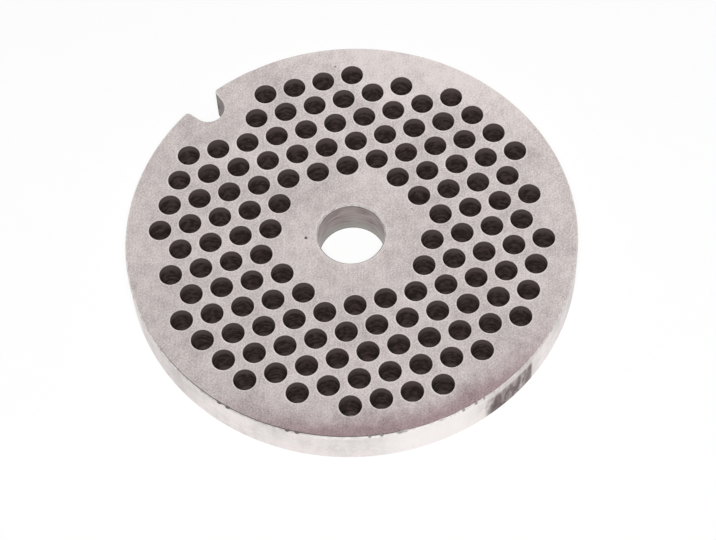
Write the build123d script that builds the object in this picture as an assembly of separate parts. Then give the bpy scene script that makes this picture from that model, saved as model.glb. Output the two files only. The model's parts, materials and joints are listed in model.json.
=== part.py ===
from build123d import *

import os
from math import ceil, cos, hypot, radians, sin, sqrt

# Meat grinder plate. A flat, round steel plate with a hub bore in its middle, a field of straight
# mincing holes on a triangular grid, and one locating notch in its rim. The knife turns on one face,
# the stud of the feed screw turns in the bore, and a pin in the grinder's head sits in the notch, so
# that the plate can't turn. Both faces are ground flat and alike, and either may face the knife.
#
# Frame: the origin is on the bore's axis, in the plane of the underside. +Z runs up along the axis,
# and +Y runs from the axis to the notch. The rows of the grid run along Y, one of them through the
# axis.

# Driving dimensions, in millimetres and degrees.

# Blank
plate_diameter = 54.0
plate_thickness = 5.2
rim_edge_break = 0.15  # 45 degree chamfer round both faces' outlines, the notch's mouth included

# Hub bore
bore_diameter = 8.0
bore_edge_break = 0.15  # 45 degree chamfer at both ends of the bore

# Mincing holes
hole_diameter = 2.7
hole_web = 0.97  # least steel between a mincing hole and the next one, or the notch
hub_land = 4.3  # least steel between a mincing hole and the bore
rim_land = 2.7  # least steel between a mincing hole and the rim

# Locating notch
notch_depth = 3.48  # from the rim's circle to the bottom of the round root
notch_root_radius = 1.95
notch_flare_angle = 9.0  # each side leans away from the notch's middle plane by this much
notch_mouth_radius = 0.5  # rounds both corners where the notch's sides meet the rim

# Derived dimensions
plate_radius = plate_diameter / 2
bore_radius = bore_diameter / 2
hole_radius = hole_diameter / 2
hole_pitch = hole_diameter + hole_web
row_spacing = hole_pitch * sqrt(3) / 2
notch_root_y = plate_radius - notch_depth + notch_root_radius
flare_cos = cos(radians(notch_flare_angle))
flare_sin = sin(radians(notch_flare_angle))


def notch_outline():
    """The notch from above: a round root, and two sides that leave it as tangents.

    The sides run outwards until they are one plate radius past the root's centre, which is beyond
    the rim, and a straight line closes the outline there.
    """
    tangent_x = notch_root_radius * flare_cos
    tangent_y = notch_root_y - notch_root_radius * flare_sin
    side_length = plate_radius / flare_cos
    open_x = tangent_x + side_length * flare_sin
    open_y = tangent_y + side_length * flare_cos
    sides = Polyline(
        (tangent_x, tangent_y),
        (open_x, open_y),
        (-open_x, open_y),
        (-tangent_x, tangent_y),
    )
    root = ThreePointArc(
        (-tangent_x, tangent_y),
        (0, notch_root_y - notch_root_radius),
        (tangent_x, tangent_y),
    )
    return make_face([*sides.edges(), *root.edges()])


def outer_edges(blank):
    """The edges round the outline of the underside and of the top."""
    faces = blank.faces().sort_by(Axis.Z)
    return faces[0].outer_wire().edges() + faces[-1].outer_wire().edges()


def inner_edges(blank):
    """The edges round the one opening in the underside and in the top."""
    faces = blank.faces().sort_by(Axis.Z)
    return faces[0].inner_wires()[0].edges() + faces[-1].inner_wires()[0].edges()


def plate_blank():
    """The plate before it is drilled: a notched disc with a hub bore and broken edges."""
    disc = Circle(plate_radius) - notch_outline()
    mouth_corners = disc.vertices().sort_by(Axis.Y)[-2:]
    disc = fillet(mouth_corners, notch_mouth_radius)
    blank = extrude(disc, plate_thickness)
    blank = chamfer(outer_edges(blank), rim_edge_break)
    blank -= extrude(Circle(bore_radius), plate_thickness)
    return chamfer(inner_edges(blank), bore_edge_break)


def steel_to_notch(x, y):
    """How far a point is from the notch: from its flared side, or from its root if it lies inwards."""
    aside = abs(x)
    outward = y - notch_root_y
    along_side = aside * flare_sin + outward * flare_cos
    if along_side > 0:
        return aside * flare_cos - outward * flare_sin - notch_root_radius
    return hypot(aside, outward) - notch_root_radius


def mincing_hole_centres():
    """The points of a triangular grid that leave the hub, the rim and the notch their steel."""
    nearest = bore_radius + hub_land + hole_radius
    farthest = plate_radius - rim_land - hole_radius
    rows = ceil(farthest / row_spacing)
    steps = ceil(farthest / hole_pitch)
    centres = []
    for row in range(-rows, rows + 1):
        half_step = row % 2 / 2
        for step in range(-steps, steps + 1):
            x = row * row_spacing
            y = (step + half_step) * hole_pitch
            in_field = nearest <= hypot(x, y) <= farthest
            if in_field and steel_to_notch(x, y) >= hole_radius + hole_web:
                centres.append((x, y))
    return centres


def grinder_plate():
    """The blank with a mincing hole drilled straight through it at each centre."""
    hole_field = Sketch() + Locations(*mincing_hole_centres()) * Circle(hole_radius)
    return plate_blank() - extrude(hole_field, plate_thickness)


plate = grinder_plate()
plate.label = "grinder_plate"

os.makedirs("parts", exist_ok=True)
export_step(plate, "parts/grinder_plate.step")
print("mincing holes", len(mincing_hole_centres()))
print("volume in cubic millimetres", round(plate.volume, 1))
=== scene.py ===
"""The looks of a meat grinder plate, and the stage that it lies on.

The steel is one closed mesh: walls carried along the outline, the bore and every mincing hole, and two flat
faces between them. Sizes are in metres, in the frame of the solid that it stands for: the underside lies in
the plane Z = 0, the bore's axis is the Z axis, and the notch is at +Y.
"""

import json

import bpy
import numpy as np
from bpy.props import FloatProperty, FloatVectorProperty, IntProperty, PointerProperty
from bpy.types import NodeSocket, Operator, Panel, PropertyGroup
from mathutils import Matrix, Vector
from mathutils.geometry import delaunay_2d_cdt


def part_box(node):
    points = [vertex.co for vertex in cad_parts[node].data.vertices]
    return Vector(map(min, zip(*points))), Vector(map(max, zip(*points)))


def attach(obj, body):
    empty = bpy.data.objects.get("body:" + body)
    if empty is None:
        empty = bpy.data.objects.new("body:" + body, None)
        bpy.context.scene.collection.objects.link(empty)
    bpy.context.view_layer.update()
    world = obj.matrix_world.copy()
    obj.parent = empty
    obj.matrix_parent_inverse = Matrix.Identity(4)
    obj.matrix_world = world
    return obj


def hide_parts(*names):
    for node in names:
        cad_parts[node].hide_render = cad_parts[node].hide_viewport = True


bl_info = {
    "name": "Meat Grinder Plate",
    "version": (1, 0, 0),
    "blender": (4, 5, 0),
    "location": "View3D > Sidebar > Grinder Plate",
    "description": "Builds the ground and drilled steel of a meat grinder plate, and its stage",
    "category": "Object",
}

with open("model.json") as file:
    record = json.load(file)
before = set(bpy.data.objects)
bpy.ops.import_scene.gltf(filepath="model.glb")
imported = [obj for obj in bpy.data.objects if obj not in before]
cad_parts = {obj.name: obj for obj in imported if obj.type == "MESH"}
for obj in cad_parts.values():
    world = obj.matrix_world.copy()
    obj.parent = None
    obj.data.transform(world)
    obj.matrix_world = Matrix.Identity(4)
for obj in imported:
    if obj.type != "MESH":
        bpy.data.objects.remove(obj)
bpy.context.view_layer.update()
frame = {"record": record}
NODE = "grinder_plate"
BODY = "root"
MOUNTS = {mount["name"]: mount for mount in frame["record"]["mounts"]}

MM = 0.001
THICKNESS = round(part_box(NODE)[1].z, 6)
RIM_RADIUS = MOUNTS["rim_seat"]["dims"]["r_mm"] * MM
BORE_RADIUS = MOUNTS["hub_bore"]["dims"]["r_mm"] * MM
NOTCH_ROOT_Y = MOUNTS["locating_notch"]["pos_m"][1]

# The floor lies this far below the plate, so that the two never lie in one plane. The plate leaves it open
# beyond a radius, and round two points on the Y axis, in the bore and in the notch: their Y, and how far round.
FLOOR_GAP = 0.02 * MM
OPEN_FROM_RADIUS = RIM_RADIUS - 0.5 * MM
OPENINGS = ((0.0, BORE_RADIUS), (NOTCH_ROOT_Y + 1.0 * MM, 3.0 * MM))

# The finishes, in the order of the steel's material slots.
FACE, EDGE, RIM, BORE, HOLE, NOTCH = range(6)

# How worn the steel is: rubbed bright above 0, with painted glints on the rim, and darker below it.
WORN_MOUTH, WORN_BORE, RIM_GLINT = 1.0, 0.6, 0.5
DARK_EDGE, GRIMY_NICK = -0.5, -1.0

# Each wall takes a strip of the flat faces with it, which keeps their shading level up to the edge.
EDGE_STRIP, BORE_STRIP, HOLE_STRIP = 0.25 * MM, 0.6 * MM, 0.22 * MM
# How many points the walls have: in their height, and round each part of their paths.
WALL_ROWS = 9
BORE_SIDES, PIT_SIDES = 128, 16
NOTCH_ROOT_SIDES, NOTCH_CORNER_SIDES, NOTCH_SIDE_PARTS = 48, 8, 8

# Nicks in the upper edge of the rim: the angle from +X in degrees, half the length and the depth in mm.
RIM_NICKS = (
    (73.0, 0.30, 0.10),
    (191.9, 0.35, 0.07),
    (194.4, 0.25, 0.09),
    (210.5, 0.22, 0.10),
    (213.0, 0.25, 0.09),
    (230.8, 0.18, 0.07),
    (233.8, 0.20, 0.08),
    (238.2, 0.20, 0.17),
    (239.6, 0.45, 0.06),
    (249.0, 0.35, 0.06),
    (254.9, 0.30, 0.12),
    (258.5, 0.28, 0.14),
    (260.9, 0.22, 0.11),
    (312.0, 0.50, 0.05),
)
# A nick this deep is full of grime.
FULL_NICK = 0.1 * MM

# Pits in the upper face: X, Y, radius and depth in mm.
FACE_PITS = (
    (-4.20, 3.42, 0.19, 0.10),
    (15.30, 18.90, 0.10, 0.05),
    (7.60, -2.60, 0.08, 0.04),
)
# A pit's section, from its level bottom to its mouth: how much narrower than the mouth it is, as a share of the
# radius, and how far down, as a share of the depth.
PIT_SECTION = ((0.75, 1.0), (0.45, 0.8), (0.12, 0.3), (0.0, 0.0))

# Where a black pit lies in the wall of the notch. It is a mark in the finish and isn't cut.
NOTCH_PIT = (2.2 * MM, 26.5 * MM, 2.4 * MM)


def linear(hex_colour):
    """An sRGB colour written in hex, such as "#c8bfbd", as the linear values that shaders take."""
    srgb = np.array([int(hex_colour[at : at + 2], 16) for at in (1, 3, 5)]) / 255
    values = np.where(srgb <= 0.04045, srgb / 12.92, ((srgb + 0.055) / 1.055) ** 2.4)
    return (*values.tolist(), 1.0)


WHITE = linear("#ffffff")


def length(name, description, default):
    """A size in metres, which the sidebar shows as a length."""
    return FloatProperty(
        name=name,
        description=description,
        default=default,
        min=0.0,
        precision=5,
        subtype="DISTANCE",
        unit="LENGTH",
    )


def turn(name, description, degrees):
    """An angle, which the sidebar shows in degrees."""
    return FloatProperty(
        name=name,
        description=description,
        default=np.radians(degrees),
        subtype="ANGLE",
        unit="ROTATION",
    )


def point(name, description, default):
    """A point, which the sidebar shows as three lengths."""
    return FloatVectorProperty(
        name=name,
        description=description,
        default=default,
        precision=5,
        subtype="TRANSLATION",
        unit="LENGTH",
    )


def colour(name, description, hex_colour):
    """A colour, which the sidebar shows as a swatch."""
    return FloatVectorProperty(
        name=name,
        description=description,
        default=linear(hex_colour),
        size=4,
        min=0.0,
        max=1.0,
        subtype="COLOR",
    )


class PlateSizes(PropertyGroup):
    """The sizes of the steel."""

    rim_radius: length("Rim radius", "Radius of the plate's outline", RIM_RADIUS)
    thickness: length("Thickness", "From the underside to the upper face", THICKNESS)
    bore_radius: length("Bore radius", "Radius of the hub bore", BORE_RADIUS)
    edge_break: length("Edge break", "Chamfer on the outline and on the bore", 0.15 * MM)
    hole_radius: length("Hole radius", "Radius of a mincing hole", 1.35 * MM)
    hole_web: length("Web", "Steel between neighbouring mincing holes", 0.97 * MM)
    hub_land: length("Hub land", "Least steel between a mincing hole and the bore", 4.3 * MM)
    rim_land: length("Rim land", "Least steel between a mincing hole and the rim", 2.7 * MM)
    mouth_break: length("Mouth break", "What grinding takes off a mincing hole's mouth", 0.05 * MM)
    notch_root_radius: length("Notch root", "Radius of the notch's round root", 1.95 * MM)
    notch_root_y: length("Notch centre", "From the plate's axis to the root's centre", NOTCH_ROOT_Y)
    notch_mouth_radius: length("Notch mouth", "Radius of the corners at the mouth", 0.5 * MM)
    notch_flare: turn("Notch flare", "How far each side of the notch leans outwards", 9.0)
    rim_sides: IntProperty(name="Rim sides", description="Facets round the rim", default=1080, min=180)
    hole_sides: IntProperty(name="Hole sides", description="Facets round a mincing hole", default=40, min=12)


class PlateColours(PropertyGroup):
    """The colours of the steel, where each tool has left its own finish."""

    face: colour("Ground face", "Ground steel of both faces", "#d2c9c7")
    # Dull steel, which also paints shade on one side of the faces and on two sides of the rim.
    face_dull_and_shade: colour("Dull patches", "Ground steel that has gone dull", "#a79e9d")
    stain: colour("Stain", "What the purple-brown stain multiplies the steel by", "#d2c1c7")
    rim: colour("Turned rim", "Turned steel of the rim", "#eee6e4")
    rim_cool: colour("Rim film", "Greenish film in places on the rim", "#e8e4e2")
    # A painted highlight, which brightens one side of the rim.
    rim_highlight: colour("Rubbed rim", "Turned steel that handling has rubbed bright", "#fbf5f3")
    # Dark steel for dull places, which on the rim also paints a reflection.
    dark_steel_and_reflection: colour("Rim patch", "Dark patch on the rim", "#5f4b4a")
    bore: colour("Bore", "Bored steel of the hub", "#a39795")
    # A painted light, which makes the foot of the bore paler.
    bore_foot_light: colour("Bore foot", "Paler film at the foot of the bore", "#9b9a94")
    hole: colour("Mincing holes", "Dark film in the drilled holes", "#5c4e4d")
    # A painted light, which makes the walls paler near the mouths.
    hole_lip_light: colour("Hole lips", "Drilled steel that shows near the mouths", "#695c5a")
    notch: colour("Notch", "Milled steel of the notch", "#837a77")
    # Pale steel of worn edges, which along the rim is partly a painted highlight.
    edge: colour("Worn edges", "Bright steel of worn edges", "#e6e2de")
    # Painted glints, which fleck the rim below its upper edge on one side.
    glinting: colour("Bare steel", "Flecks of bare steel where knocks have hit", "#fcf7f7")
    grime: colour("Grime", "Black grime in nicks and pits", "#3a312e")


class StageLook(PropertyGroup):
    """The floor, the lamps and the camera."""

    floor: colour("Floor", "White paper", "#f6f6f6")
    floor_fibre: colour("Floor fibre", "Greyer fibres in the paper", "#efefef")
    floor_shaded: colour("Shaded floor", "Paper that the plate covers", "#898684")
    floor_side: length("Floor side", "Side of the square floor", 4.0)
    aim: point("Aim", "What the camera looks at", (-0.002848, -0.004157, 0.0052))
    distance: length("Camera distance", "From the aim to the camera", 0.28909)
    azimuth: turn("Camera azimuth", "Round the Z axis from -Y", -40.5655)
    elevation: turn("Camera elevation", "Above the horizon", 60.0096)
    roll: turn("Camera roll", "Round the line of sight", -3.6436)
    lens: FloatProperty(name="Lens", description="Focal length in millimetres", default=122.918, min=1.0)
    world_strength: FloatProperty(
        name="World strength", description="The world's light on dull surfaces", default=0.15, min=0.0
    )
    lamp_power: FloatProperty(
        name="Lamp power", description="Power of the lamp", default=0.09, min=0.0, unit="POWER"
    )
    lamp_side: length("Lamp side", "Side of the square lamp", 0.3)
    lamp_place: point("Lamp place", "Centre of the lamp, which faces the plate", (0.24, 0.10, 0.19))
    fill_power: FloatProperty(
        name="Fill power", description="Power of the fill lamp", default=1.3, min=0.0, unit="POWER"
    )
    fill_side: length("Fill side", "Side of the square fill lamp", 0.1)
    fill_place: point("Fill place", "Centre of the fill lamp, which faces the plate", (-0.105, -0.1225, 0.33))


# ---------------------------------------------------------------------------------------------- shapes


def arc(centre, radius, start, end, count):
    """Points of a circle, and the ways they face: centre + radius * (cos a, sin a), facing (cos a, sin a).

    The angle a goes from start up to but not including end. A negative radius makes a hollow corner.
    """
    angle = np.linspace(start, end, count, endpoint=False)
    facing = np.stack((np.cos(angle), np.sin(angle)), axis=-1)
    return np.asarray(centre) + radius * facing, facing


def straight(start, end, facing, count):
    """Points of a line from start up to but not including end, which all face one way."""
    share = np.linspace(0.0, 1.0, count, endpoint=False)[:, None]
    return start + share * (end - start), np.broadcast_to(facing, (count, 2))


def notched_outline(sizes):
    """The plate's outline, anticlockwise from the notch's left corner, as one closed path, and its facing.

    Each corner circle touches the rim from within and one side of the notch. Its centre is
    root + (root radius + corner radius) * across + s * along, where along runs outwards along the side,
    across runs from the notch into the steel, and s makes it rim radius - corner radius from the axis.
    """
    root = np.array((0.0, sizes.notch_root_y))
    flare = sizes.notch_flare
    along = np.array((np.sin(flare), np.cos(flare)))
    across = np.array((np.cos(flare), -np.sin(flare)))
    mouth = sizes.notch_mouth_radius
    foot = root + (sizes.notch_root_radius + mouth) * across
    middle = foot @ along
    corner = foot + (np.sqrt(middle**2 - foot @ foot + (sizes.rim_radius - mouth) ** 2) - middle) * along
    corner_angle = np.arctan2(corner[1], corner[0])
    outer_end = corner - mouth * across
    inner_end = root + sizes.notch_root_radius * across
    mirror = np.array((-1.0, 1.0))
    parts = (
        arc((0.0, 0.0), sizes.rim_radius, np.pi - corner_angle, 2 * np.pi + corner_angle, sizes.rim_sides),
        arc(corner, mouth, corner_angle, np.pi - flare, NOTCH_CORNER_SIDES),
        straight(outer_end, inner_end, -across, NOTCH_SIDE_PARTS),
        arc(root, -sizes.notch_root_radius, np.pi - flare, flare, NOTCH_ROOT_SIDES),
        straight(inner_end * mirror, outer_end * mirror, -across * mirror, NOTCH_SIDE_PARTS),
        arc(corner * mirror, mouth, flare, np.pi - corner_angle, NOTCH_CORNER_SIDES),
    )
    path = np.concatenate([points for points, _ in parts])
    facing = np.concatenate([ways for _, ways in parts])
    return path[None], facing[None]


def round_openings(centres, radii, count):
    """Circles round openings, clockwise, so that the steel is on their left and faces their axes."""
    path, facing = arc((0.0, 0.0), 1.0, 2 * np.pi, 0.0, count)
    centres = np.reshape(centres, (-1, 1, 2))
    return centres + np.reshape(radii, (-1, 1, 1)) * path, np.broadcast_to(-facing, (len(centres), count, 2))


def steel_to_notch(points, sizes):
    """How far points are from the notch: from its flared side, or from its root if they lie inwards."""
    aside = np.abs(points[..., 0])
    outward = points[..., 1] - sizes.notch_root_y
    sine, cosine = np.sin(sizes.notch_flare), np.cos(sizes.notch_flare)
    beside = aside * sine + outward * cosine > 0
    away = np.where(beside, aside * cosine - outward * sine, np.hypot(aside, outward))
    return away - sizes.notch_root_radius


def mincing_holes(sizes):
    """The centres of the mincing holes, and the points midway between three of them.

    The centres are the points x = row * pitch * sqrt(3) / 2, y = (step + half a step in odd rows) * pitch
    that leave the hub, the rim and the notch their steel. The points midway between three are at
    pitch / sqrt(3) from a centre, every 60 degrees from +X.
    """
    pitch = 2 * sizes.hole_radius + sizes.hole_web
    nearest = sizes.bore_radius + sizes.hub_land + sizes.hole_radius
    farthest = sizes.rim_radius - sizes.rim_land - sizes.hole_radius
    reach = int(np.ceil(farthest / (pitch * np.sqrt(3) / 2)))
    steps = np.arange(-reach, reach + 1)
    row, step = np.meshgrid(steps, steps, indexing="ij")
    grid = np.stack((row * np.sqrt(3) / 2, step + row % 2 / 2), axis=-1).reshape(-1, 2) * pitch
    away = np.linalg.norm(grid, axis=-1)
    clear = steel_to_notch(grid, sizes) >= sizes.hole_radius + sizes.hole_web
    centres = grid[(nearest <= away) & (away <= farthest) & clear]
    _, six_ways = arc((0.0, 0.0), 1.0, 0.0, 2 * np.pi, 6)
    between = (centres[:, None] + pitch / np.sqrt(3) * six_ways).reshape(-1, 2)
    between = np.unique(np.round(between, 7), axis=0)
    return centres, between[steel_to_notch(between, sizes) > sizes.hole_web / 2]


def broken_edge_profile(strip, edge, thickness):
    """The profile of a wall with a 45 degree chamfer at each end, and a strip of each flat face beyond it.

    It gives the insets into the steel and the heights, from below to above, as columns.
    """
    inset = np.concatenate(((strip, edge), np.zeros(WALL_ROWS), (edge, strip)))
    wall = np.linspace(edge, thickness - edge, WALL_ROWS)
    height = np.concatenate(((0.0, 0.0), wall, (thickness, thickness)))
    return inset[:, None], height[:, None]


class Steel:
    """Gathers the walls and flat faces of the plate as arrays, and makes them one mesh.

    vertices and worn have a row for each vertex, faces and finishes one for each face, and count is the number
    of vertices so far.
    """

    def __init__(self):
        self.vertices = []
        self.worn = []
        self.faces = []
        self.finishes = []
        self.count = 0

    def add_vertices(self, points, worn):
        """Adds vertices and how worn the steel is there, and returns their numbers."""
        numbers = self.count + np.arange(points[..., 0].size).reshape(points.shape[:-1])
        self.vertices.append(points.reshape(-1, 3))
        self.worn.append(np.broadcast_to(worn, points.shape[:-1]).ravel())
        self.count += numbers.size
        return numbers

    def add_faces(self, corners, finishes):
        """Adds quads, or triangles, which are held as quads with -1 for their last corner."""
        finishes = np.broadcast_to(finishes, corners.shape[:-1]).ravel()
        corners = corners.reshape(-1, corners.shape[-1])
        spare = 4 - corners.shape[-1]
        self.faces.append(np.pad(corners, ((0, 0), (0, spare)), constant_values=-1))
        self.finishes.append(finishes)

    def add_wall(self, path, facing, inset, height, finishes, worn=0.0):
        """Carries a profile along closed paths that have the steel on their left: path - inset * facing.

        inset, height and worn have a row for each point of the profile, from below to above, and finishes
        one for each band between two of them. A row holds one value, or one for each point of the path.
        """
        rows = np.shape(inset)[-2]
        shape = (len(path), rows, path.shape[1])
        flat = path[:, None] - np.broadcast_to(inset, shape)[..., None] * facing[:, None]
        height = np.broadcast_to(height, shape)[..., None]
        numbers = self.add_vertices(np.concatenate((flat, height), axis=-1), worn)
        after = np.roll(numbers, -1, axis=-1)
        quads = np.stack((numbers[:, :-1], after[:, :-1], after[:, 1:], numbers[:, 1:]), axis=-1)
        self.add_faces(quads, finishes)
        return numbers

    def add_flat(self, loops, between, height, upwards):
        """Fills a level face between closed loops with triangles, with more points among them.

        The steel is on the left of every loop. So a triangle whose corners are all on one loop is steel if
        it turns anticlockwise when they are taken in the loop's order, and empty if it turns clockwise.
        """
        spare = self.add_vertices(np.column_stack((between, np.full(len(between), height))), 0.0)
        ids = np.concatenate((*loops, spare))
        lengths = np.array([len(loop) for loop in loops])
        owner = np.repeat(np.arange(len(loops) + 1), (*lengths, len(spare)))
        first = np.repeat(np.cumsum(lengths) - lengths, lengths)
        here = np.arange(len(first))
        ring = first + (here - first + 1) % np.repeat(lengths, lengths)
        points = np.concatenate(self.vertices)[ids, :2]
        # The triangulation works in millimetres, which keeps its tolerances well below the facets.
        made = delaunay_2d_cdt((points / MM).tolist(), np.column_stack((here, ring)).tolist(), [], 0, 1e-7)
        if len(made[0]) != len(points):
            raise RuntimeError("loops of a flat face touch each other")
        triangles = np.sort(np.array(made[2]), axis=-1)
        one, two = np.moveaxis(points[triangles[:, 1:]] - points[triangles[:, :1]], 1, 0)
        turns = one[:, 0] * two[:, 1] - one[:, 1] * two[:, 0]
        on_one_loop = (np.ptp(owner[triangles], axis=-1) == 0) & (owner[triangles[:, 0]] < len(loops))
        steel = ~(on_one_loop & (turns <= 0))
        triangles, turns = triangles[steel], turns[steel]
        wrong = (turns > 0) != upwards
        triangles[wrong] = triangles[wrong, ::-1]
        self.add_faces(ids[triangles], FACE)

    def make_object(self, name, materials):
        """Makes one object of everything gathered, smooth except at its edges."""
        faces = np.concatenate(self.faces)
        corner_counts = 3 + (faces[:, 3] >= 0)
        corners = faces[faces >= 0]
        mesh = bpy.data.meshes.new(name)
        mesh.vertices.add(self.count)
        mesh.vertices.foreach_set("co", np.concatenate(self.vertices).ravel())
        mesh.loops.add(len(corners))
        mesh.loops.foreach_set("vertex_index", corners)
        mesh.polygons.add(len(faces))
        mesh.polygons.foreach_set("loop_start", np.cumsum(corner_counts) - corner_counts)
        mesh.polygons.foreach_set("material_index", np.concatenate(self.finishes))
        mesh.update(calc_edges=True)
        mesh.shade_smooth()
        mesh.set_sharp_from_angle(angle=np.radians(30.0))
        worn = mesh.attributes.new("worn", "FLOAT", "POINT")
        worn.data.foreach_set("value", np.concatenate(self.worn))
        for material in materials:
            mesh.materials.append(material)
        if mesh.validate(verbose=True):
            raise RuntimeError("the mesh of the steel has faults")
        made = bpy.data.objects.new(name, mesh)
        bpy.context.scene.collection.objects.link(made)
        return made


def add_outline(steel, sizes):
    """The rim and the notch. A nick pushes the outline of the upper face in, and the rim's corner down.

    It does so by the sum of depth * exp(-(distance / half length)^2) over all nicks.
    """
    path, facing = notched_outline(sizes)
    angle, half_length, depth = (np.array(RIM_NICKS) * (np.pi / 180, MM, MM)).T
    nicks = sizes.rim_radius * np.stack((np.cos(angle), np.sin(angle)), axis=-1)
    distance = np.linalg.norm(path[0, :, None] - nicks, axis=-1)
    nick = (depth * np.exp(-((distance / half_length) ** 2))).sum(axis=-1)
    inset, height = broken_edge_profile(EDGE_STRIP, sizes.edge_break, sizes.thickness)
    top = len(inset) - 1
    inset = inset + (np.arange(top + 1) == top - 1)[:, None] * nick
    height = height - (np.arange(top + 1) == top - 2)[:, None] * nick
    wall = np.where(np.arange(path.shape[1]) < sizes.rim_sides, RIM, NOTCH)
    finishes = np.tile(wall, (top, 1))
    finishes[[0, -1]] = FACE
    finishes[[1, -2]] = EDGE
    # A dark line lies along the edge of each face and grime in the nicks, and painted glints lie on the corner
    # below the upper chamfer.
    full = np.clip(nick / FULL_NICK, 0.0, 1.0)
    worn = np.zeros(np.shape(height))
    worn[1] = DARK_EDGE
    worn[top - 1] = DARK_EDGE + (GRIMY_NICK - DARK_EDGE) * full
    worn[top - 2] = RIM_GLINT + (GRIMY_NICK - RIM_GLINT) * full
    return steel.add_wall(path, facing, inset, height, finishes, worn)


def add_bore(steel, sizes):
    """The hub bore, with a chamfer at each end."""
    path, facing = round_openings((0.0, 0.0), sizes.bore_radius, BORE_SIDES)
    inset, height = broken_edge_profile(BORE_STRIP, sizes.edge_break, sizes.thickness)
    finishes = np.array((FACE, EDGE, *[BORE] * (WALL_ROWS - 1), EDGE, FACE))[:, None]
    worn = np.zeros((len(inset), 1))
    worn[[1, -2]] = WORN_BORE
    return steel.add_wall(path, facing, inset, height, finishes, worn)


def add_mincing_holes(steel, sizes, centres):
    """The mincing holes. Grinding has rounded their mouths a little, and worn the steel round them.

    half is how far the middle of a mouth's quarter circle lies from both of its flat sides. The mouths of the
    underside are as dark as the walls, and those of the upper face are bright.
    """
    path, facing = round_openings(centres, np.full(len(centres), sizes.hole_radius), sizes.hole_sides)
    mouth, top = sizes.mouth_break, sizes.thickness
    half = mouth * (1 - np.sqrt(0.5))
    # A second row close to each mouth keeps the shading of the long wall straight.
    near = 3 * mouth
    # Each row holds an inset, a height and how worn the steel is there.
    profile = np.array(
        (
            (HOLE_STRIP, 0.0, 0.0),
            (mouth, 0.0, WORN_MOUTH),
            (half, half, WORN_MOUTH),
            (0.0, mouth, 0.0),
            (0.0, near, 0.0),
            (0.0, top - near, 0.0),
            (0.0, top - mouth, 0.0),
            (half, top - half, WORN_MOUTH),
            (mouth, top, WORN_MOUTH),
            (HOLE_STRIP, top, 0.0),
        )
    )
    inset, height, worn = profile.T[..., None]
    finishes = np.array((FACE, *[HOLE] * 5, EDGE, EDGE, FACE))[:, None]
    return steel.add_wall(path, facing, inset, height, finishes, worn)


def add_pits(steel, sizes):
    """Small bowls in the upper face, each with a level bottom."""
    x, y, radius, depth = (np.array(FACE_PITS) * MM).T
    path, facing = round_openings(np.column_stack((x, y)), radius, PIT_SIDES)
    narrower, deeper = np.array(PIT_SECTION).T[:, None, :, None]
    inset = -narrower * radius[:, None, None]
    height = sizes.thickness - deeper * depth[:, None, None]
    numbers = steel.add_wall(path, facing, inset, height, HOLE)
    bottom = numbers[:, 0]
    fan = np.stack(np.broadcast_arrays(bottom[:, :1], bottom[:, 2:], bottom[:, 1:-1]), axis=-1)
    steel.add_faces(fan, HOLE)
    return numbers


def build_steel(sizes):
    """All walls of the plate, and the two flat faces between them."""
    steel = Steel()
    centres, between = mincing_holes(sizes)
    outline = add_outline(steel, sizes)
    bore = add_bore(steel, sizes)
    holes = add_mincing_holes(steel, sizes, centres)
    pits = add_pits(steel, sizes)
    low = [*outline[:, 0], *bore[:, 0], *holes[:, 0]]
    high = [*outline[:, -1], *bore[:, -1], *holes[:, -1], *pits[:, -1]]
    steel.add_flat(low, between, 0.0, upwards=False)
    steel.add_flat(high, between, sizes.thickness, upwards=True)
    return steel


# ------------------------------------------------------------------------------------------- materials


# The Mix node's colour inputs, which share their names with its other kinds, and what makes it mix colours.
MIX_A, MIX_B = 6, 7
IN_COLOUR = {"output": 2, "data_type": "RGBA"}

# Sides of the plate that carry a mark, some of it painted light and shade: a bearing from +X in degrees, and
# the distances along it, in mm, where the mark starts and where it is full.
# Painted shade on one side of the faces, and painted light on another.
FACE_SHADE_SIDE = (198.0, 20.0, 27.0)
FACE_LIGHT_SIDE = (28.0, 18.0, 27.0)
STAINED_SIDE = (240.0, 15.5, 25.5)
# A dark line along the edge of the faces, on one side.
DARK_EDGE_SIDE = (206.0, 22.0, 29.0)
# Painted glints under the rim's upper edge, on one side.
GLINT_SIDE = (238.0, 24.4, 26.0)
# Painted shade on two sides of the rim, and a painted highlight on a third.
RIM_SHADE_SIDES = ((170.0, 25.5, 26.9), (303.0, 25.5, 26.9))
RIM_HIGHLIGHT_SIDE = (246.0, 25.9, 26.95)


def add_node(tree, kind, inputs=None, output=0, **settings):
    """Adds a shader node with its settings, feeds its inputs with values or outputs, and gives an output."""
    node = tree.nodes.new("ShaderNode" + kind)
    for setting, value in settings.items():
        setattr(node, setting, value)
    for name, value in (inputs or {}).items():
        if isinstance(value, NodeSocket):
            tree.links.new(value, node.inputs[name])
        else:
            node.inputs[name].default_value = value
    return node.outputs[output] if node.outputs else None


def per(size_mm):
    """The scale of a pattern that repeats about once in this many millimetres."""
    return 1.0 / (size_mm * MM)


def new_metal(name, metallic=1.0):
    """An empty material, with its tree, its shader and the place on the piece that its patterns read."""
    material = bpy.data.materials.new(name)
    material.use_nodes = True
    tree = material.node_tree
    shader = tree.nodes["Principled BSDF"]
    shader.inputs["Metallic"].default_value = metallic
    place = add_node(tree, "TexCoord", output="Object")
    return material, tree, shader, place


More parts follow.
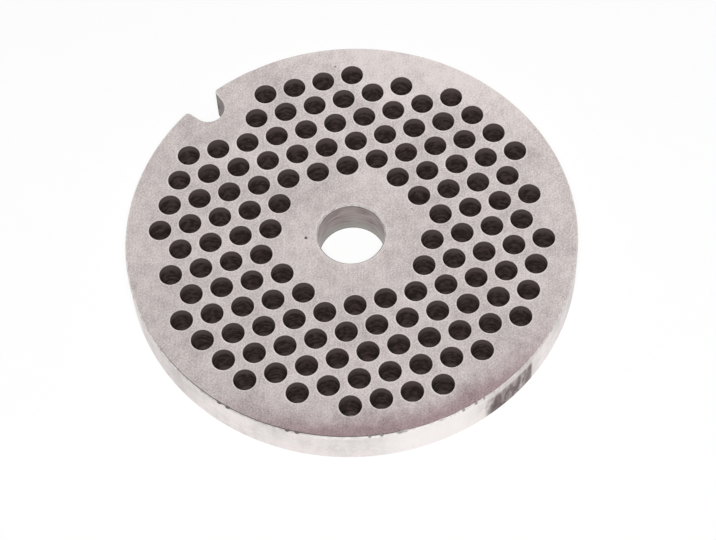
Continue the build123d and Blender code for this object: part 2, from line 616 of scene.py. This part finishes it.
def dress(tree, shader, steel, gloss, relief=None):
    """Gives a shader its colour, its roughness and its relief.

    gloss holds a pattern, and the roughness where it is 0 and where it is 1. relief holds a pattern of heights,
    how strongly it shows and its depth in mm.
    """
    tree.links.new(steel, shader.inputs["Base Color"])
    pattern, low, high = gloss
    roughness = add_node(tree, "MapRange", {"Value": pattern, "To Min": low, "To Max": high})
    tree.links.new(roughness, shader.inputs["Roughness"])
    if relief:
        height, strength, depth = relief
        inputs = {"Height": height, "Strength": strength, "Distance": depth * MM}
        tree.links.new(add_node(tree, "Bump", inputs, output="Normal"), shader.inputs["Normal"])


def weigh(tree, level, terms):
    """level + the sum of weight * (pattern - 1/2), kept between 0 and 1."""
    total = level - sum(weight for _, weight in terms) / 2
    for pattern, weight in terms:
        total = add_node(tree, "Math", {0: pattern, 1: weight, 2: total}, operation="MULTIPLY_ADD")
    total.node.use_clamp = True
    return total


def ragged(tree, distance, terms):
    """distance + the sum of reach * pattern, with each reach in mm, so that what it bounds has a ragged end."""
    for pattern, reach in terms:
        distance = add_node(tree, "Math", {0: pattern, 1: reach * MM, 2: distance}, operation="MULTIPLY_ADD")
    return distance


def on_side(tree, place, side, most=1.0, terms=(), **settings):
    """Rises from 0 to most towards one side of the plate, over the two distances that the side gives.

    The distance is place . (cos bearing, sin bearing, 0), made ragged by the terms.
    """
    degrees, start, full = side
    bearing = np.radians(degrees)
    way = (np.cos(bearing), np.sin(bearing), 0.0)
    along = add_node(tree, "VectorMath", {0: place, 1: way}, output="Value", operation="DOT_PRODUCT")
    reach = ragged(tree, along, terms)
    inputs = {"Value": reach, "From Min": start * MM, "From Max": full * MM, "To Max": most}
    return add_node(tree, "MapRange", inputs, **settings)


def dark_edge_and_nick_grime(tree, place, worn):
    """How dark the edge of the faces is: a dark line on one side of the plate, and grime in every nick.

    The line lies where worn nears -0.5, and a nick is full of grime where worn is -1.
    """
    mottle = add_node(tree, "TexNoise", {"Vector": place, "Scale": per(1.2), "Detail": 4.0, "Roughness": 0.6})
    side = on_side(tree, place, DARK_EDGE_SIDE, 0.8, ((mottle, 8.0),))
    edge = add_node(tree, "MapRange", {"Value": worn, "From Min": -0.05, "From Max": -0.4})
    line = add_node(tree, "Math", {0: edge, 1: side}, operation="MULTIPLY")
    nick = add_node(tree, "MapRange", {"Value": worn, "From Min": -0.55, "From Max": -1.0, "To Max": 0.6})
    return add_node(tree, "Math", {0: line, 1: nick}, operation="MAXIMUM")


def stain_crescent(tree, place, cloud, mottle):
    """How much the stain covers: all that lies beyond a ragged radius, fading away from one side."""
    level = add_node(tree, "VectorMath", {0: place, 1: (1.0, 1.0, 0.0)}, operation="MULTIPLY")
    radius = add_node(tree, "VectorMath", {0: level}, output="Value", operation="LENGTH")
    band = add_node(
        tree,
        "MapRange",
        {
            "Value": ragged(tree, radius, ((cloud, 2.5), (mottle, 2.0))),
            "From Min": 25.2 * MM,
            "From Max": 28.8 * MM,
        },
        interpolation_type="SMOOTHSTEP",
    )
    side = on_side(tree, place, STAINED_SIDE, interpolation_type="SMOOTHSTEP")
    return add_node(tree, "Math", {0: band, 1: side}, operation="MULTIPLY")


def ground_face(colours):
    """Carbon steel, ground flat and then marked by use.

    Fine grinding leaves a soft satin with faint straight lines and no mirror. Water and fat leave cloudy dull
    patches and a purple-brown stain along one side of the rim, and a dark line runs along the very edge on one
    side. The mouths of the holes are rubbed bright. Painted shade darkens the face towards one side, and
    painted light brightens it towards another.
    """
    material, tree, shader, place = new_metal("ground_carbon_steel")
    cloud = add_node(tree, "TexNoise", {"Vector": place, "Scale": per(6.0), "Detail": 3.0, "Roughness": 0.55})
    mottle = add_node(tree, "TexNoise", {"Vector": place, "Scale": per(1.2), "Detail": 4.0, "Roughness": 0.6})
    # Real grit marks are some 0.03 mm wide; these are drawn several times coarser, so that they show.
    grain = add_node(tree, "TexNoise", {"Vector": place, "Scale": per(0.2), "Detail": 2.0})
    passes = add_node(
        tree,
        "Mapping",
        {"Vector": place, "Rotation": (0.0, 0.0, np.radians(44.0)), "Scale": (16.0, 1.0, 1.0)},
        vector_type="TEXTURE",
    )
    lines = add_node(tree, "TexNoise", {"Vector": passes, "Scale": per(0.2), "Detail": 2.0})
    # Painted shade darkens one side of the face, and painted light brightens another side.
    painted_shade_side = on_side(tree, place, FACE_SHADE_SIDE)
    rubbed = on_side(tree, place, FACE_LIGHT_SIDE)
    patterns = ((cloud, 0.8), (mottle, 1.0), (grain, 1.9), (lines, 0.5))
    dull = weigh(tree, 0.27, (*patterns, (painted_shade_side, 0.15), (rubbed, -0.45)))
    steel = add_node(tree, "Mix", {0: dull, MIX_A: colours.face, MIX_B: colours.face_dull_and_shade}, **IN_COLOUR)
    stain = stain_crescent(tree, place, cloud, mottle)
    steel = add_node(
        tree, "Mix", {0: stain, MIX_A: steel, MIX_B: colours.stain}, blend_type="MULTIPLY", **IN_COLOUR
    )
    worn = add_node(tree, "Attribute", output="Fac", attribute_name="worn")
    bright = add_node(tree, "Math", {0: worn, 1: 0.4}, operation="MULTIPLY", use_clamp=True)
    steel = add_node(tree, "Mix", {0: bright, MIX_A: steel, MIX_B: colours.edge}, **IN_COLOUR)
    grime = dark_edge_and_nick_grime(tree, place, worn)
    steel = add_node(tree, "Mix", {0: grime, MIX_A: steel, MIX_B: colours.grime}, **IN_COLOUR)
    height = weigh(tree, 0.5, ((grain, 0.7), (lines, 0.7)))
    dress(tree, shader, steel, gloss=(dull, 0.36, 0.56), relief=(height, 0.5, 0.012))
    return material


def worn_edge_and_highlight(colours):
    """Carbon steel, rubbed bright where a face meets a wall.

    It is paler than either, which along the edges is partly a painted highlight. A dark line runs along one
    side of the plate, grime fills the nicks, and painted glints fleck it on another side.
    """
    material, tree, shader, place = new_metal("rubbed_bright_steel_edge")
    speck = add_node(tree, "TexNoise", {"Vector": place, "Scale": per(0.5), "Detail": 3.0})
    worn = add_node(tree, "Attribute", output="Fac", attribute_name="worn")
    rounded = add_node(tree, "Math", {0: worn, 1: 0.5}, operation="MULTIPLY", use_clamp=True)
    dull = weigh(tree, 0.75, ((speck, 1.6), (rounded, 1.0)))
    steel = add_node(tree, "Mix", {0: dull, MIX_A: colours.edge, MIX_B: colours.face_dull_and_shade}, **IN_COLOUR)
    # Painted glints fleck the edge on one side.
    glint_flecks = weigh(tree, 0.8, ((speck, 5.0),))
    glint_reach = on_side(tree, place, GLINT_SIDE)
    glint_flecks = add_node(tree, "Math", {0: glint_flecks, 1: glint_reach}, operation="MULTIPLY")
    steel = add_node(tree, "Mix", {0: glint_flecks, MIX_A: steel, MIX_B: colours.glinting}, **IN_COLOUR)
    grime = dark_edge_and_nick_grime(tree, place, worn)
    steel = add_node(tree, "Mix", {0: grime, MIX_A: steel, MIX_B: colours.grime}, **IN_COLOUR)
    dress(tree, shader, steel, gloss=(speck, 0.35, 0.6))
    return material


def reflection_cover(tree, place, thickness, streak, grain):
    """How much the painted reflection on the rim covers, which is a dark mark.

    It is made of bent smears, on the side away from the notch. Its end at low X is ragged, its end at high X is
    hard, and it thins out towards the upper face.
    """
    stretched = add_node(tree, "Mapping", {"Vector": place, "Scale": (1.0, 1.0, 0.45)})
    smear = add_node(
        tree, "TexNoise", {"Vector": stretched, "Scale": per(1.3), "Detail": 3.0, "Distortion": 1.2}
    )
    cover = weigh(tree, 0.79, ((smear, 1.8), (streak, 0.5), (grain, 0.5)))
    axes = add_node(tree, "SeparateXYZ", {0: place}).node.outputs
    # For each limit: the distance that it reads, where it starts and where it is past, and what it leaves.
    limits = (
        (ragged(tree, axes["X"], ((smear, 3.0),)), -3.0 * MM, -0.7 * MM, 0.0),
        (axes["X"], 3.7 * MM, 3.15 * MM, 0.0),
        (ragged(tree, axes["Z"], ((grain, 1.0),)), thickness - 0.2 * MM, thickness - 1.1 * MM, 0.25),
    )
    for distance, start, past, least in limits:
        inputs = {"Value": distance, "From Min": start, "From Max": past, "To Min": least}
        limit = add_node(tree, "MapRange", inputs, interpolation_type="SMOOTHSTEP")
        cover = add_node(tree, "Math", {0: cover, 1: limit}, operation="MULTIPLY")
    away_from_notch = add_node(tree, "Math", {0: axes["Y"], 1: 0.0}, operation="LESS_THAN")
    return add_node(tree, "Math", {0: cover, 1: away_from_notch}, operation="MULTIPLY")


def turned_rim(colours, thickness):
    """Carbon steel, turned.

    It is paler than the faces, with faint upright streaks and a greenish film in places. Painted shade darkens
    two sides a little and a painted highlight brightens a third, painted glints fleck it below the upper edge
    on one side, and a dark mark is a painted reflection.
    """
    material, tree, shader, place = new_metal("turned_carbon_steel_rim")
    upright = add_node(tree, "Mapping", {"Vector": place, "Scale": (1.0, 1.0, 0.12)})
    streak = add_node(tree, "TexNoise", {"Vector": upright, "Scale": per(0.7), "Detail": 3.0})
    cloud = add_node(tree, "TexNoise", {"Vector": place, "Scale": per(3.5), "Detail": 3.0})
    grain = add_node(tree, "TexNoise", {"Vector": place, "Scale": per(0.25), "Detail": 2.0})
    mottle = add_node(tree, "TexNoise", {"Vector": place, "Scale": per(1.5), "Detail": 4.0, "Roughness": 0.6})
    film = weigh(tree, 0.4, ((cloud, 2.6),))
    steel = add_node(tree, "Mix", {0: film, MIX_A: colours.rim, MIX_B: colours.rim_cool}, **IN_COLOUR)
    patterns = ((streak, 0.25), (grain, 0.5), (mottle, 0.7), (cloud, 0.6))
    # Painted shade: two sides of the rim are a little darker.
    painted_shade_side = [(on_side(tree, place, side), 0.3) for side in RIM_SHADE_SIDES]
    dull = weigh(tree, 0.4, (*patterns, *painted_shade_side))
    steel = add_node(tree, "Mix", {0: dull, MIX_A: steel, MIX_B: colours.face_dull_and_shade}, **IN_COLOUR)
    # Painted highlight: one side of the rim is brighter.
    rubbed = on_side(tree, place, RIM_HIGHLIGHT_SIDE, 0.75, interpolation_type="SMOOTHSTEP")
    steel = add_node(tree, "Mix", {0: rubbed, MIX_A: steel, MIX_B: colours.rim_highlight}, **IN_COLOUR)
    worn = add_node(tree, "Attribute", output="Fac", attribute_name="worn")
    # Painted glints below the upper edge, on one side.
    glinting = weigh(tree, 0.8, ((worn, 2.0), (mottle, 4.0)))
    glint_reach = on_side(tree, place, GLINT_SIDE)
    glinting = add_node(tree, "Math", {0: glinting, 1: glint_reach}, operation="MULTIPLY")
    steel = add_node(tree, "Mix", {0: glinting, MIX_A: steel, MIX_B: colours.glinting}, **IN_COLOUR)
    # Painted reflection: a dark mark on the rim.
    reflection = reflection_cover(tree, place, thickness, streak, grain)
    steel = add_node(tree, "Mix", {0: reflection, MIX_A: steel, MIX_B: colours.dark_steel_and_reflection}, **IN_COLOUR)
    height = weigh(tree, 0.5, ((streak, 0.4), (grain, 0.6)))
    dress(tree, shader, steel, gloss=(streak, 0.3, 0.52), relief=(height, 0.25, 0.02))
    return material


def bored_hub(colours, thickness):
    """Carbon steel, bored with one cutter.

    It is greyer than the faces, with fine level lines. Its foot is painted paler, for the light of the white
    floor beside it, and a darker band lies just below the upper face.
    """
    material, tree, shader, place = new_metal("bored_carbon_steel_hub")
    level = add_node(tree, "Mapping", {"Vector": place, "Scale": (0.08, 0.08, 1.0)})
    # The cutter's feed is some 0.1 mm a turn; its lines are drawn twice as far apart, so that they show.
    feed = add_node(tree, "TexNoise", {"Vector": level, "Scale": per(0.2), "Detail": 3.0})
    cloud = add_node(tree, "TexNoise", {"Vector": place, "Scale": per(2.0), "Detail": 3.0})
    dull = weigh(tree, 0.24, ((feed, 2.0), (cloud, 1.4)))
    steel = add_node(tree, "Mix", {0: dull, MIX_A: colours.bore, MIX_B: colours.dark_steel_and_reflection}, **IN_COLOUR)
    axes = add_node(tree, "SeparateXYZ", {0: place}).node.outputs
    # Painted light: the foot of the bore is paler.
    foot = add_node(
        tree,
        "MapRange",
        {"Value": axes["Z"], "From Min": 2.8 * MM, "From Max": 0.2 * MM, "To Max": 0.8},
        interpolation_type="SMOOTHSTEP",
    )
    steel = add_node(tree, "Mix", {0: foot, MIX_A: steel, MIX_B: colours.bore_foot_light}, **IN_COLOUR)
    band = add_node(
        tree,
        "MapRange",
        {
            "Value": axes["Z"],
            "From Min": thickness - 0.5 * MM,
            "From Max": thickness - 0.15 * MM,
            "To Max": 0.3,
        },
    )
    steel = add_node(tree, "Mix", {0: band, MIX_A: steel, MIX_B: colours.dark_steel_and_reflection}, **IN_COLOUR)
    dress(tree, shader, steel, gloss=(feed, 0.32, 0.55), relief=(feed, 0.6, 0.02))
    return material


def drilled_hole(colours, thickness):
    """Drilled steel under a dried film of fat and scale.

    The film hides the metal, so the walls are dark and dull, with level rings left by the drill. Near both
    mouths they are painted paler, for the light that comes in there.
    """
    material, tree, shader, place = new_metal("drilled_steel_dark_film", metallic=0.0)
    shader.inputs["Specular IOR Level"].default_value = 0.2
    level = add_node(tree, "Mapping", {"Vector": place, "Scale": (0.35, 0.35, 1.0)})
    # The drill's feed is some 0.1 mm a turn; its rings are drawn some three times as far apart.
    rings = add_node(tree, "TexNoise", {"Vector": level, "Scale": per(0.35), "Detail": 3.0})
    film = add_node(tree, "TexNoise", {"Vector": place, "Scale": per(0.6), "Detail": 3.0})
    thick = weigh(tree, 0.6, ((rings, 3.6), (film, 3.4)))
    walls = add_node(tree, "Mix", {0: thick, MIX_A: colours.hole, MIX_B: colours.grime}, **IN_COLOUR)
    # The depth below the nearer mouth is half the thickness less the distance from the middle plane.
    axes = add_node(tree, "SeparateXYZ", {0: place}).node.outputs
    middle = add_node(tree, "Math", {0: axes["Z"], 1: thickness / 2}, operation="SUBTRACT")
    away = add_node(tree, "Math", {0: middle}, operation="ABSOLUTE")
    # Painted light: the walls are paler near both mouths.
    lit_lip = add_node(
        tree,
        "MapRange",
        {"Value": away, "From Min": thickness / 2 - 1.35 * MM, "From Max": thickness / 2 - 0.7 * MM},
        interpolation_type="SMOOTHSTEP",
    )
    walls = add_node(tree, "Mix", {0: lit_lip, MIX_A: walls, MIX_B: colours.hole_lip_light}, **IN_COLOUR)
    dress(tree, shader, walls, gloss=(film, 0.75, 1.0), relief=(rings, 0.6, 0.03))
    return material


def milled_notch(colours):
    """Milled steel, left as the cutter left it: grey, with upright marks, and one black pit at the mouth."""
    material, tree, shader, place = new_metal("milled_carbon_steel_notch")
    upright = add_node(tree, "Mapping", {"Vector": place, "Scale": (1.0, 1.0, 0.1)})
    marks = add_node(tree, "TexNoise", {"Vector": upright, "Scale": per(0.25), "Detail": 2.0})
    film = add_node(tree, "TexNoise", {"Vector": place, "Scale": per(1.2), "Detail": 3.0})
    dull = weigh(tree, 0.28, ((marks, 1.0), (film, 1.2)))
    steel = add_node(tree, "Mix", {0: dull, MIX_A: colours.notch, MIX_B: colours.dark_steel_and_reflection}, **IN_COLOUR)
    away = add_node(tree, "VectorMath", {0: place, 1: NOTCH_PIT}, output="Value", operation="DISTANCE")
    black = add_node(tree, "MapRange", {"Value": away, "From Min": 0.7 * MM, "From Max": 0.3 * MM})
    steel = add_node(tree, "Mix", {0: black, MIX_A: steel, MIX_B: colours.grime}, **IN_COLOUR)
    dress(tree, shader, steel, gloss=(marks, 0.36, 0.58), relief=(marks, 0.6, 0.02))
    return material


def seen_rays(tree):
    """1 for rays from the camera, and for those that metal or glass has turned."""
    rays = add_node(tree, "LightPath").node.outputs
    seen = add_node(tree, "Math", {0: rays["Is Camera Ray"], 1: rays["Is Glossy Ray"]}, operation="MAXIMUM")
    return add_node(tree, "Math", {0: seen, 1: rays["Is Transmission Ray"]}, operation="MAXIMUM")


def open_floor(tree, place, away):
    """1 where the steel leaves the floor open: outside the rim, in the bore and in the notch."""
    is_open = add_node(tree, "Math", {0: away, 1: OPEN_FROM_RADIUS}, operation="GREATER_THAN")
    for centre_y, reach in OPENINGS:
        aside = add_node(
            tree, "VectorMath", {0: place, 1: (0.0, centre_y, 0.0)}, output="Value", operation="DISTANCE"
        )
        within = add_node(tree, "Math", {0: aside, 1: reach}, operation="LESS_THAN")
        is_open = add_node(tree, "Math", {0: is_open, 1: within}, operation="MAXIMUM")
    return is_open


def floor_paper(look):
    """White paper, lit to plain white where nothing shades it, and clear from below.

    It is also clear to the underside that rests on it, so that the underside is lit when it is seen from below.
    """
    material = bpy.data.materials.new("white_floor_paper")
    material.use_nodes = True
    tree = material.node_tree
    tree.nodes.clear()
    place = add_node(tree, "TexCoord", output="Object")
    fibre = add_node(tree, "TexNoise", {"Vector": place, "Scale": per(4.0), "Detail": 3.0})
    paper = add_node(tree, "Mix", {0: fibre, MIX_A: look.floor, MIX_B: look.floor_fibre}, **IN_COLOUR)
    # Little light reaches the paper under the steel.
    away = add_node(tree, "VectorMath", {0: place}, output="Value", operation="LENGTH")
    is_open = open_floor(tree, place, away)
    paper = add_node(tree, "Mix", {0: is_open, MIX_A: look.floor_shaded, MIX_B: paper}, **IN_COLOUR)
    lit = add_node(tree, "BsdfDiffuse", {"Color": paper})
    glow = add_node(tree, "Emission", {"Color": WHITE, "Strength": 1.0})
    # The glow takes over where the lamps no longer reach.
    share = add_node(
        tree,
        "MapRange",
        {"Value": away, "From Min": 60.0 * MM, "From Max": 250.0 * MM, "To Min": 0.85, "To Max": 1.0},
    )
    for mask in (is_open, seen_rays(tree)):
        share = add_node(tree, "Math", {0: share, 1: mask}, operation="MULTIPLY")
    front = add_node(tree, "MixShader", {0: share, 1: lit, 2: glow})

    clear = add_node(tree, "BsdfTransparent")
    behind = add_node(tree, "NewGeometry", output="Backfacing")
    ray_length = add_node(tree, "LightPath", output="Ray Length")
    from_underside = add_node(tree, "Math", {0: ray_length, 1: 8 * FLOOR_GAP}, operation="LESS_THAN")
    see_through = add_node(tree, "Math", {0: behind, 1: from_underside}, operation="MAXIMUM")
    both = add_node(tree, "MixShader", {0: see_through, 1: front, 2: clear})
    add_node(tree, "OutputMaterial", {"Surface": both})
    return material


# ----------------------------------------------------------------------------------------------- stage


def lay_floor(look):
    """A level square just below the plate."""
    half = look.floor_side / 2
    corners = [(x, y, -FLOOR_GAP) for x, y in ((-half, -half), (half, -half), (half, half), (-half, half))]
    mesh = bpy.data.meshes.new("floor")
    mesh.from_pydata(corners, [], [(0, 1, 2, 3)])
    mesh.materials.append(floor_paper(look))
    floor = bpy.data.objects.new("floor", mesh)
    bpy.context.scene.collection.objects.link(floor)


def light_world(look):
    """An even white world: at full strength where it is seen, and far weaker as light on dull surfaces."""
    world = bpy.data.worlds.new("white_studio")
    world.use_nodes = True
    tree = world.node_tree
    tree.nodes.clear()
    strength = add_node(tree, "MapRange", {"Value": seen_rays(tree), "To Min": look.world_strength})
    white = add_node(tree, "Background", {"Color": WHITE, "Strength": strength})
    add_node(tree, "OutputWorld", {"Surface": white})
    bpy.context.scene.world = world


def hang_lamp(name, side, power, place, mirrored):
    """A soft square lamp, which faces the plate, and which shiny surfaces may mirror or not."""
    lamp = bpy.data.lights.new(name, "AREA")
    lamp.shape = "SQUARE"
    lamp.size = side
    lamp.energy = power
    holder = bpy.data.objects.new(name, lamp)
    holder.location = place
    holder.rotation_euler = Vector(place).to_track_quat("Z", "Y").to_euler()
    holder.visible_glossy = mirrored
    bpy.context.scene.collection.objects.link(holder)


def place_camera(look):
    """The camera looks at its aim from its azimuth and elevation, and is rolled about its line of sight."""
    lens = bpy.data.cameras.new("camera")
    lens.lens = look.lens
    lens.sensor_width = 36.0
    lens.clip_start = 0.01
    camera = bpy.data.objects.new("camera", lens)
    turned = Matrix.Rotation(look.azimuth, 4, "Z") @ Matrix.Rotation(np.pi / 2 - look.elevation, 4, "X")
    turned = turned @ Matrix.Rotation(look.roll, 4, "Z")
    back = turned @ Vector((0.0, 0.0, look.distance))
    camera.matrix_world = Matrix.Translation(Vector(look.aim) + back) @ turned
    bpy.context.scene.collection.objects.link(camera)
    bpy.context.scene.camera = camera


# ----------------------------------------------------------------------------------------------- add-on


class OBJECT_OT_grinder_plate_steel(Operator):
    """Builds the plate's steel over its solid"""

    bl_idname = "object.grinder_plate_steel"
    bl_label = "Plate steel"

    def execute(self, context):
        sizes = context.scene.plate_sizes
        colours = context.scene.plate_colours
        # In the order of the finishes.
        materials = (
            ground_face(colours),
            worn_edge_and_highlight(colours),
            turned_rim(colours, sizes.thickness),
            bored_hub(colours, sizes.thickness),
            drilled_hole(colours, sizes.thickness),
            milled_notch(colours),
        )
        plate = build_steel(sizes).make_object("plate_steel", materials)
        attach(plate, BODY)
        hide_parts(NODE)
        return {"FINISHED"}


class OBJECT_OT_grinder_plate_stage(Operator):
    """Lays the floor, and sets the world, the lamps and the camera"""

    bl_idname = "object.grinder_plate_stage"
    bl_label = "Stage"

    def execute(self, context):
        look = context.scene.stage_look
        lay_floor(look)
        light_world(look)
        hang_lamp("soft_lamp", look.lamp_side, look.lamp_power, look.lamp_place, mirrored=True)
        hang_lamp("fill_lamp", look.fill_side, look.fill_power, look.fill_place, mirrored=False)
        place_camera(look)
        context.scene.view_settings.view_transform = "Standard"
        return {"FINISHED"}


class VIEW3D_PT_grinder_plate(Panel):
    """Lists what can be built, and the sizes and colours that it is built with"""

    bl_label = "Grinder Plate"
    bl_space_type = "VIEW_3D"
    bl_region_type = "UI"
    bl_category = "Grinder Plate"

    def draw(self, context):
        for operator, groups in (
            (OBJECT_OT_grinder_plate_steel, (context.scene.plate_sizes, context.scene.plate_colours)),
            (OBJECT_OT_grinder_plate_stage, (context.scene.stage_look,)),
        ):
            box = self.layout.box()
            box.operator(operator.bl_idname)
            for group in groups:
                for name in group.__annotations__:
                    box.prop(group, name)


CLASSES = (
    PlateSizes,
    PlateColours,
    StageLook,
    OBJECT_OT_grinder_plate_steel,
    OBJECT_OT_grinder_plate_stage,
    VIEW3D_PT_grinder_plate,
)


def register():
    """Registers the classes, and gives the scene their properties."""
    for item in CLASSES:
        bpy.utils.register_class(item)
    bpy.types.Scene.plate_sizes = PointerProperty(type=PlateSizes)
    bpy.types.Scene.plate_colours = PointerProperty(type=PlateColours)
    bpy.types.Scene.stage_look = PointerProperty(type=StageLook)


def unregister():
    """Undoes register, in the opposite order."""
    del bpy.types.Scene.stage_look
    del bpy.types.Scene.plate_colours
    del bpy.types.Scene.plate_sizes
    for item in reversed(CLASSES):
        bpy.utils.unregister_class(item)


def main():
    """Builds the plate and its stage."""
    register()
    bpy.ops.object.grinder_plate_steel()
    bpy.ops.object.grinder_plate_stage()


if __name__ == "__main__":
    main()
